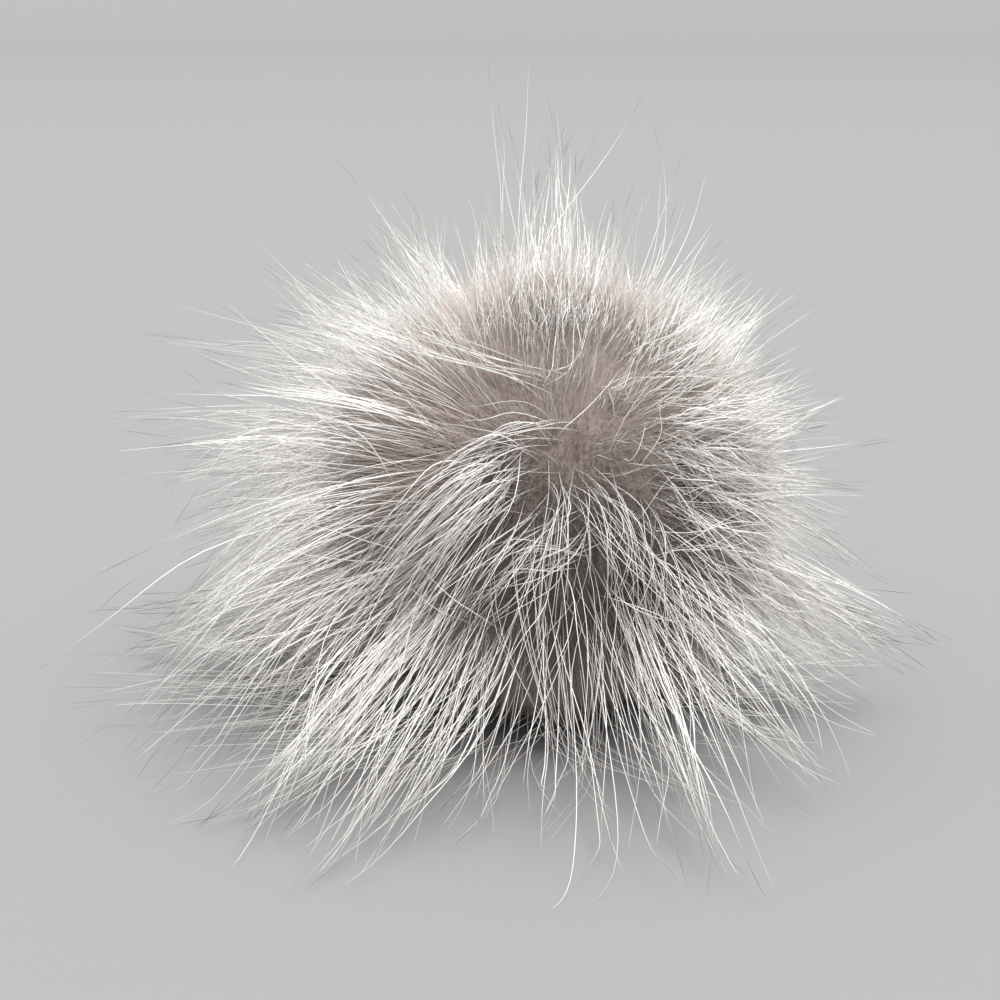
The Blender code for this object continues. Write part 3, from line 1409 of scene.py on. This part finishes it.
TRESSES: tuple[Tress, ...] = (
    # The long sheet that falls to the left and low left, its sparse middle, and its right.
    Tress(200, 18, gather=0.72, late=0.50, stray=2.6, ways=(
        Way((-20, 10), (-38, 6, 14), (-53, -5, 12)), Way((-20, 3), (-39, -3, 17), (-59, -20, 16)),
        Way((-17, -3), (-38, -14, 23), (-63, -37, 24)), Way((-14, -8), (-33, -26, 30), (-56, -53, 36)),
        Way((-8, -12), (-23, -34, 36), (-43, -60, 49)), Way((-4, -14), (-12, -37, 40), (-22, -60, 54)),
    )),
    Tress(25, 5, gather=0.8, late=0.60, stray=2.6, ways=(
        Way((-4, -14), (-12, -37, 40), (-22, -60, 54)), Way((5, -15), (6, -39, 42), (5, -63, 57)),
        Way((10, -13), (16, -37, 40), (22, -61, 55)),
    )),
    Tress(165, 15, gather=0.72, late=0.50, stray=2.4, ways=(
        Way((10, -13), (16, -37, 40), (22, -61, 55)), Way((14, -10), (26, -31, 34), (39, -52, 42)),
        Way((16, -6), (30, -23, 29), (46, -38, 30)), Way((12, 0), (27, -10, 28), (43, -26, 26)),
        Way((10, 5), (24, 2.5, 27), (40, -7, 24)), Way((15, 10), (26, 8, 23), (38, 3, 20)),
    )),
    # Paler, denser hair behind it on the right.
    Tress(100, 7, late=0.3, stray=2.5, tones=(0.30, 0.25, 0.25, 0.20), ways=(
        Way((23, -4), (36, -13, 8), (51, -20.5, 4)), Way((23, -10), (34, -22, 12), (49.5, -30, 14)),
    )),
    # The hair that flows right across the ball's right side, and up to the upper right.
    Tress(92, 6, gather=0.6, late=0.4, stray=2.0, ways=(
        Way((12, 8), (24, 8, 22), (37, 5, 16)), Way((14, 3), (26, 0, 22), (38, -6, 16)),
        Way((14, -2), (27, -8, 23), (42, -16, 18)),
    )),
    Tress(44, 5, gather=0.75, late=0.3, stray=1.6, ways=(
        Way((8, 18), (18, 24, 20), (27, 31, 12)), Way((14, 13), (25, 18, 18), (36, 24, 10)),
    )),
    # The bundle that runs to one point on the right, and the fan and the lock above it.
    Tress(40, 3, gather=0.8, late=0.4, stray=1.6, thickness=1.15, ways=(
        Way((8.5, 12.5), (23.5, 13.5, 25), (39, 13, 20)),
        Way((14.5, 8.5), (26, 10.5, 23), (39.5, 12.5, 20)),
    )),
    Tress(18, 6, stray=0.4, thickness=1.15, ways=(
        Way((8.5, 12.5), (14.5, 17, 29), (20.5, 21.5, 28)),
        Way((8.6, 12.8), (12, 17, 30), (15.5, 20, 29)), Way((8.4, 12.6), (10, 17, 29), (11.8, 21.8, 27)),
    )),
    Tress(66, 6, gather=0.6, late=0.3, stray=0.9, thickness=1.2, ways=(
        Way((14.5, 9.2), (25.5, 12, 23), (39, 12.8, 18)), Way((14.8, 9), (25.5, 7, 23.5), (38, 3.8, 19)),
        Way((15, 8.6), (25, 3.5, 24), (38, -4.5, 20)),
    )),
    # Long hairs that cross the dome upwards.
    Tress(7, 4, gather=0.2, stray=1.2, thickness=1.15, ways=(
        Way((2.4, 19.5), (0, 26.5, 24), (-6.1, 36.5, 14)),
        Way((-2.4, 13.5), (3.5, 22.5, 27), (11, 36, 14)),
    )),
    Tress(22, 1, gather=0.9, stray=0.8, ways=(
        Way((11.5, 20.5), (19.5, 28.5, 14), (28, 35, 12)), Way((14, 19), (21, 27.5, 13), (28.5, 34, 12)),
    )),
    # The few hairs that run far to the left over the bare dome.
    Tress(9, 3, gather=0.3, stray=0.7, shortest=0.85, thickness=1.2, ways=(
        Way((7, 13.5), (-16, 20.5, 30), (-47, 24.5, 20)), Way((4, 14), (-15, 22.5, 29), (-40, 30.5, 20)),
    )),
    # The clump to the left of the crown, and the arcs over it.
    Tress(84, 5, gather=0.45, late=0.2, stray=2.0, thickness=1.1, ways=(
        Way((-2.5, 7.5), (-14, 0.5, 34), (-34, -16, 24)), Way((-5, 3), (-14, -5.5, 34.5), (-30, -25, 27)),
    )),
    Tress(12, 4, gather=0.3, stray=1.4, ways=(
        Way((6, 8), (-7, 8.5, 35), (-22, -4, 28)), Way((4, 9.5), (-8.5, 10.5, 34), (-18, 6.5, 30)),
    )),
    # The fountain under the crown, which splits to the left and to the right.
    Tress(17, 2, gather=0.6, late=0.25, stray=1.6, ways=(
        Way((1, 6.5), (1.5, -6, 36), (-3, -24, 32)), Way((3, 6.5), (3, -8, 36), (2.5, -27, 32)),
    )),
    Tress(17, 3, gather=0.6, late=0.25, stray=1.6, ways=(
        Way((3, 6), (9, -3.5, 35.5), (6, -17, 33)), Way((5, 5), (13, -6, 35), (12, -22, 31)),
    )),
    Tress(34, 4, gather=0.55, late=0.3, stray=2.2, ways=(
        Way((8.5, 0), (15.5, -10.5, 33), (16, -28, 33)),
        Way((11.5, 0), (18.5, -11.5, 32), (19.5, -30, 33)),
    )),
    # Hair that crosses the middle of the face.
    Tress(14, 6, gather=0.2, stray=2.0, ways=(
        Way((9.5, -3), (-1, -12, 36), (-17.5, -24.5, 34)),
        Way((8.5, -1.5), (-4, -11.5, 36), (-19, -19, 33)),
    )),
    Tress(7, 4, gather=0.3, stray=0.8, ways=(
        Way((8.5, -11), (-1, -9, 36.5), (-12.5, -8.5, 34)),
        Way((8, -9.5), (-2, -8, 36.5), (-10.5, -10, 35)),
    )),
    Tress(20, 5, gather=0.5, late=0.3, stray=2.2, ways=(
        Way((0, 1), (-10, -7, 35), (-22, -22, 30)), Way((1, -4), (-7, -13, 35.5), (-16, -28, 33)),
    )),
    Tress(12, 5, gather=0.3, late=0.3, stray=2.6, ways=(
        Way((-1, -7), (-5.5, -19, 35), (-13, -37.5, 36)), Way((7, -10), (6, -23.5, 36), (2.5, -40.5, 38)),
    )),
    # Dark-tipped wisps that reach past the rest: left, low left, right, below and on top.
    Tress(64, 5, thickness=1.45, tones=MOSTLY_DARK, ways=(
        Way((-22, -4), (-44, -14, 4), (-69, -19, 0)), Way((-22, -8), (-42, -18, 6), (-66, -25, 3)),
    )),
    Tress(34, 2, gather=0.8, thickness=1.45, tones=MOSTLY_DARK, ways=(
        Way((-14, -10), (-31, -30, 30), (-54, -51, 38)), Way((-13, -12), (-29, -33, 32), (-50, -56, 42)),
    )),
    Tress(56, 6, thickness=1.45, tones=MOSTLY_DARK, ways=(
        Way((23, -3), (40, -12, 8), (60, -20, 2)), Way((23, -7), (39, -17, 10), (57, -28, 6)),
    )),
    Tress(20, 2, tones=MOSTLY_DARK, ways=(
        Way((10, -13), (15, -38, 41), (22, -62, 56)), Way((12, -12), (18, -37, 40), (24, -60, 54)),
    )),
    Tress(26, 3, gather=0.8, thickness=1.45, tones=MOSTLY_DARK, ways=(
        Way((-1, 26.5), (0, 42, -2), (1, 56, -8)), Way((3, 26.5), (4, 41, -2), (5, 52, -8)),
    )),
    # The pale tuft in the middle of the top, and the fans to its left and right.
    Tress(120, 7, gather=0.8, late=0.25, stray=1.4, ways=(
        Way((-7, 19), (-8.5, 30, 15), (-9.5, 41, 8)), Way((0, 19), (1.5, 31, 15.5), (2.5, 45, 7)),
        Way((6, 19), (7.5, 30, 15), (9.5, 41, 8)),
    )),
    Tress(90, 8, gather=0.75, late=0.3, stray=1.8, ways=(
        Way((-9, 18), (-13.5, 27.5, 17), (-18, 38.5, 8)), Way((-13, 16), (-20, 25, 15), (-28, 36, 8)),
        Way((-17, 13), (-26, 21, 13), (-37, 31, 6)),
    )),
    Tress(84, 8, gather=0.75, late=0.3, stray=1.8, ways=(
        Way((9, 18), (13.5, 27, 17), (18.5, 38, 8)), Way((13, 15.5), (20.5, 24, 16), (29, 34, 8)),
        Way((16.5, 12), (26.5, 19, 15), (38, 27, 8)),
    )),
    # Single hairs that cross the rest.
    Tress(18, 9, gather=0.0, stray=4.0, ways=(
        Way((-16, 4), (-32, 14, 18), (-48, 23, 10)), Way((-12, -6), (-30, 2, 24), (-52, 6, 14)),
        Way((-14, -12), (-34, -8, 24), (-54, -2, 14)),
    )),
    Tress(9, 6, gather=0.0, stray=3.0, ways=(
        Way((16, -8), (28, 0, 22), (40, 10, 12)), Way((12, -12), (26, -8, 26), (41, -2, 16)),
    )),
    Tress(2, 1, gather=0.0, stray=0.3, ways=(
        Way((-26, -11), (-15, -17.5, 37), (-4, -24, 39)), Way((-24, -9), (-13, -17, 37), (-2, -26, 39)),
    )),
    Tress(2, 1, gather=0.0, stray=0.3, ways=(
        Way((4.5, -15.5), (13.5, -18, 38), (24, -21.5, 36)),
        Way((6, -14.5), (15, -18.5, 38), (27, -24, 36)),
    )),
    Tress(5, 3, gather=0.0, stray=1.2, ways=(
        Way((-14, 8.5), (-2, 12.5, 35), (9, 23, 31)), Way((11, 3.5), (13.5, 8.5, 32), (16, 14, 30)),
    )),
    # Lone hairs high over the top.
    Tress(16, 8, gather=0.2, stray=2.5, tones=MOSTLY_DARK, ways=(
        Way((-8, 25), (-8, 44, 0), (-11, 64, -6)), Way((0, 26), (1, 44, 0), (1, 61, -6)),
        Way((12, 23), (20, 41, 0), (23, 58, -6)),
    )),
)


@dataclass
class FaceTresses:
    """The tresses of the face and low front, laid out as TRESSES lists them.

    Two values are the least and the most. How far locks, loose hairs, roots and bulges stray is beside how
    far the tress's hairs stray.

    Attributes:
        sight: The line of sight in which they are laid out.
        room: The space that they may fill.
        segments, crowding: Stretches in one hair, and how much denser they are near the root.
        centre_jitter: How unevenly the locks of a tress stand, in spacings.
        lock_lengths, shorter_power: Share of its way that a lock covers, and how few hairs are much shorter.
        loose_share: Share of the hairs that are loose.
        gathered: How far along their way hairs have come together.
        crossing, uncrossed: How many ways over hairs cross near the root, and how far along that ends.
        lock_stray, loose_stray, gathered_less: How far locks and loose hairs stray, and how much less hairs
            that gather do.
        stray_power, root_stray, bulge: How late hairs stray, how far roots do, and how far hairs bulge.
        hook, start: How far hairs turn aside where they come out of the ball, and where along them that is.
        floor_height, floor_heights: How high ways are over the floor, and single hairs.
        taper, thickness: Thickness of a hair, and of single hairs beside that.
        crimp: The waves of single hairs.
        seed: Seed of their random draws.
    """

    sight: Sight
    room: Room
    segments: int = 14
    crowding: float = 1.15
    centre_jitter: float = 0.3
    lock_lengths: tuple[float, float] = (0.88, 1.10)
    shorter_power: float = 1.4
    loose_share: float = 0.10
    gathered: Ramp = Ramp(0.1, 1.0)
    crossing: float = 0.14
    uncrossed: Ramp = Ramp(0.0, 0.8)
    lock_stray: float = 1.2
    loose_stray: float = 3.0
    gathered_less: float = 0.7
    stray_power: float = 1.5
    root_stray: float = 1.1
    bulge: float = 0.9
    hook: float = 0.0018
    start: Ramp = Ramp(0.0, 0.35)
    floor_height: float = 0.0012
    floor_heights: tuple[float, float] = (LOWEST_HAIR, 0.003)
    taper: Taper = Taper(thickness=0.000164, root_share=0.5, tip_share=0.36, fullest=0.35)
    thickness: tuple[float, float] = (0.7, 1.15)
    crimp: Crimp = Crimp(height=0.00070, waves=(0.5, 1.3))
    seed: int = 31

    def strands(self) -> Strands:
        """Lay every tress."""
        rng = np.random.default_rng(self.seed)
        whole: Strands | None = None
        for tress in TRESSES:
            laid = self._lay(tress, rng)
            whole = laid if whole is None else whole.joined(laid)
        return whole

    def _curve(self, way: Way, along: np.ndarray) -> np.ndarray:
        """Places on a way, as a parabola through its root, middle and tip.

        Args:
            way: The way.
            along: How far along it, in any shape.

        Returns:
            Places, in the shape of along and 3.
        """
        root = self.sight.root(np.array(way.root) * MM)
        middle = self.sight.place(np.array(way.middle) * MM, self.floor_height)
        tip = self.sight.place(np.array(way.tip) * MM, self.floor_height)
        handle = 2.0 * middle - 0.5 * (root + tip)
        t = along[..., None]
        return (1.0 - t) ** 2 * root + 2.0 * t * (1.0 - t) * handle + t**2 * tip

    def _lay(self, tress: Tress, rng: np.random.Generator) -> Strands:
        """Lay the hairs of one tress.

        Args:
            tress: The tress.
            rng: Source of their differences.

        Returns:
            Its hairs.
        """
        count, locks, gaps = tress.hairs, tress.locks, len(tress.ways) - 1
        centres = gaps * (np.arange(locks) + 0.5 + rng.normal(0.0, self.centre_jitter, locks)) / locks
        across = gaps * rng.random(count)
        lock = np.argmin(np.abs(across[:, None] - centres[None, :]), axis=1)
        lock_share = rng.uniform(*self.lock_lengths, locks)
        shorter = (1.0 - tress.shortest) * rng.random(count) ** self.shorter_power
        share = lock_share[lock] * (1.0 - shorter)
        start = tress.late * rng.random(count)
        even = np.linspace(0.0, 1.0, self.segments + 1) ** self.crowding
        along = start[:, None] + (share - start)[:, None] * even[None, :]
        loose = rng.random(count) < self.loose_share
        gather = np.where(loose, 0.0, tress.gather)[:, None]
        crossing = rng.normal(0.0, self.crossing * gaps, count)[:, None] * (1.0 - self.uncrossed.at(along))
        beside = across[:, None] + (centres[lock] - across)[:, None] * gather * self.gathered.at(along)
        places = self._between(tress.ways, np.clip(beside + crossing, 0.0, gaps), along)

        stray = tress.stray * MM
        lock_out = rng.normal(0.0, self.lock_stray * stray, (locks, 1, 3))[lock]
        own_stray = np.where(loose, self.loose_stray * stray, stray)[:, None, None]
        own_out = rng.normal(0.0, 1.0, (count, 1, 3)) * own_stray
        own_out = own_out * (1.0 - self.gathered_less * gather[..., None])
        root_out = rng.normal(0.0, self.root_stray * stray, (count, 1, 3))
        bulge = rng.normal(0.0, self.bulge * stray, (count, 1, 3))
        hook = rng.normal(0.0, self.hook, (count, 1, 3)) * (1.0 - self.start.at(even))[None, :, None]
        rising = along[..., None]
        places = places + (lock_out + own_out) * rising**self.stray_power + root_out * (1.0 - rising)
        places = places + bulge * np.sin(np.pi * rising) + hook
        places = places + self.crimp.offsets(rng, count, even[None, :])
        places = self._rooted(places, even)
        places = self.sight.ball.keep_out(places, np.tile(even, (count, 1)))
        places[..., 2] = np.maximum(places[..., 2], rng.uniform(*self.floor_heights, (count, 1)))
        places = self.room.fit(relaxed(places, rounds=4))
        radii = self.taper.radii(even)[None, :] * tress.thickness
        radii = radii * rng.uniform(*self.thickness, count)[:, None]
        return Strands(places, radii, hair_columns(rng, count, tress.tones))

    def _between(self, ways: tuple[Way, ...], beside: np.ndarray, along: np.ndarray) -> np.ndarray:
        """Find places between ways.

        Args:
            ways: The ways.
            beside: How many ways over each place is, shaped (hairs, points).
            along: How far along them it is.

        Returns:
            The places, shaped (hairs, points, 3).
        """
        low = np.minimum(beside.astype(int), len(ways) - 2)
        curves = np.stack([self._curve(way, along) for way in ways])
        rows, columns = np.indices(along.shape, sparse=True)
        first, last = curves[low, rows, columns], curves[low + 1, rows, columns]
        return first + (beside - low)[..., None] * (last - first)

    def _rooted(self, places: np.ndarray, even: np.ndarray) -> np.ndarray:
        """Bring the start of each hair down to the skin, however late on its way it comes out.

        Args:
            places: Places, shaped (hairs, points, 3).
            even: How far along its hair each point is.

        Returns:
            The places with their roots on the skin.
        """
        ball = self.sight.ball
        outward = places - ball.middle()
        reach = np.linalg.norm(outward, axis=-1, keepdims=True)
        down = (1.0 - self.start.at(even))[None, :, None]
        return places - outward / reach * (reach - ball.skin_radius) * down


@dataclass(frozen=True)
class Studio:
    """Floor, backdrop, lights and camera.

    Attributes:
        focal_px, side_px: Focal length of the view and side of the picture, in pixels.
        ball_px: Where the ball's middle is in the picture, from its top left.
        sensor_mm, near_clip: Width of the camera's sensor, and how near it sees things.
        floor_color, floor_roughness: Finish of the floor and the wall.
        floor_radius, cove_radius, wall_height: The flat floor, the curve up from it, and the wall over that.
        cove_steps, turn_steps: Steps up the curve and around the floor.
        key_place, key_width_deg, key_strength: Where the key light comes from, how wide and how strong it is.
        sky_strength: How strong the even white light from all round is.
    """

    focal_px: float = 1900.0
    side_px: float = 1000.0
    ball_px: tuple[float, float] = (545.0, 495.0)
    sensor_mm: float = 36.0
    near_clip: float = 0.01
    floor_color: Color = (0.262, 0.258, 0.255, 1.0)
    floor_roughness: float = 0.9
    floor_radius: float = 2.2
    cove_radius: float = 0.8
    cove_steps: int = 12
    wall_height: float = 1.0
    turn_steps: int = 96
    key_place: tuple[float, float, float] = (0.22, -0.50, 1.0)
    key_width_deg: float = 32.0
    key_strength: float = 3.35
    sky_strength: float = 1.42

    def build(self, sight: Sight) -> None:
        """Set up everything around the object.

        Args:
            sight: The camera's line of sight.
        """
        self._camera(sight)
        self._sweep()
        self._key()
        world = bpy.data.worlds.new("studio")
        world.use_nodes = True
        sky = world.node_tree.nodes["Background"]
        feed(world.node_tree, sky, {"Color": (1.0, 1.0, 1.0, 1.0), "Strength": self.sky_strength})
        bpy.context.scene.world = world
        bpy.context.scene.view_settings.view_transform = "Standard"

    def _camera(self, sight: Sight) -> None:
        """Place the camera so that the ball's middle falls on its pixel."""
        half = self.side_px / 2.0
        across = (self.ball_px[0] - half) / self.focal_px * sight.distance
        above = (half - self.ball_px[1]) / self.focal_px * sight.distance
        data = bpy.data.cameras.new("camera")
        data.lens = self.focal_px / self.side_px * self.sensor_mm
        data.sensor_width = self.sensor_mm
        data.clip_start = self.near_clip
        camera = add_object("camera", data)
        place = sight.ball.middle() - sight.right() * across - sight.up() * above
        camera.location = Vector(place + sight.toward() * sight.distance)
        camera.rotation_euler = (math.radians(90.0 - sight.pitch_deg), 0.0, 0.0)
        bpy.context.scene.camera = camera

    def _sweep(self) -> None:
        """Lay a plain pale floor that curves up into a wall all round, far from the ball."""
        mesh = bmesh.new()
        rim = self.floor_radius + self.cove_radius
        profile = [mesh.verts.new((0.0, 0.0, 0.0)), mesh.verts.new((self.floor_radius, 0.0, 0.0))]
        for number in range(1, self.cove_steps + 1):
            turn = math.radians(90.0 / self.cove_steps * number)
            across = self.floor_radius + self.cove_radius * math.sin(turn)
            above = self.cove_radius * (1.0 - math.cos(turn))
            profile.append(mesh.verts.new((across, 0.0, above)))
        profile.append(mesh.verts.new((rim, 0.0, self.cove_radius + self.wall_height)))
        edges = [mesh.edges.new(pair) for pair in zip(profile, profile[1:])]
        bmesh.ops.spin(
            mesh, geom=profile + edges, cent=(0, 0, 0), axis=(0, 0, 1), angle=2.0 * math.pi,
            steps=self.turn_steps, use_merge=True,
        )
        bmesh.ops.remove_doubles(mesh, verts=mesh.verts[:], dist=1e-5)
        bmesh.ops.recalc_face_normals(mesh, faces=mesh.faces[:])
        bmesh.ops.reverse_faces(mesh, faces=[face for face in mesh.faces if face.normal.z < -1e-3])
        material, shader = new_material("floor", self.floor_roughness)
        feed(material.node_tree, shader, {"Base Color": self.floor_color})
        add_smooth_object("floor", mesh, material)

    def _key(self) -> None:
        """Light the scene evenly from one side."""
        data = bpy.data.lights.new("key", "SUN")
        data.angle = math.radians(self.key_width_deg)
        data.energy = self.key_strength
        light = add_object("key", data)
        light.rotation_euler = (-Vector(self.key_place)).to_track_quat("-Z", "Y").to_euler()


class PomPom:
    """The whole pom pom, built piece by piece."""

    def __init__(self) -> None:
        """Settle the ball and how its hair lies."""
        self.ball = Ball()
        self.growth = Growth(self.ball, Combing())
        self.sight = Sight(self.ball)
        self.room = Room.around(CAD_NODE)
        self.mesher = StrandMesher()

    def build(self) -> None:
        """Build every piece, and report each."""
        body = UnderfurBody(self.ball).build()
        self._keep(body)
        fluff = Underfur(self.growth).strands()
        self._quarters("underfur_fluff", fluff, UNDERFUR_FINISH.build(), softness=0.75)
        hair = GuardHair(self.growth, self.room).strands()
        self._quarters("guard_hair", hair, GUARD_FINISH.build())
        face = self.mesher.build("face_tresses", FaceTresses(self.sight, self.room).strands())
        face.data.materials.append(FACE_FINISH.build())
        self._keep(face)

    def _quarters(
        self, name: str, strands: Strands, material: bpy.types.Material, softness: float = 0.0
    ) -> None:
        """Make pieces from strands, split by where they grow so that no piece is too heavy.

        Args:
            name: What the pieces' names start with.
            strands: The strands.
            material: Their finish.
            softness: How far they are shaded like the ball.
        """
        outward = strands.points[:, 0] - self.ball.middle()
        front, left = outward[:, 1] < 0.0, outward[:, 0] < 0.0
        parts = {
            "front_left": front & left,
            "front_right": front & ~left,
            "back_left": ~front & left,
            "back_right": ~front & ~left,
        }
        for part, chosen in parts.items():
            piece = self.mesher.build(f"{name}_{part}", strands.pick(chosen), self.ball.middle(), softness)
            piece.data.materials.append(material)
            self._keep(piece)

    def _keep(self, piece: bpy.types.Object) -> None:
        """Let a piece ride on the body and stand for the soft solid."""
        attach(piece, BODY)
        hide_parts(CAD_NODE)
        triangles = sum(len(face.vertices) - 2 for face in piece.data.polygons)
        log.info("%s: %d triangles", piece.name, triangles)


def main() -> None:
    """Build the pom pom and the studio around it."""
    pom_pom = PomPom()
    pom_pom.build()
    Studio().build(pom_pom.sight)


if __name__ == "__main__":
    main()
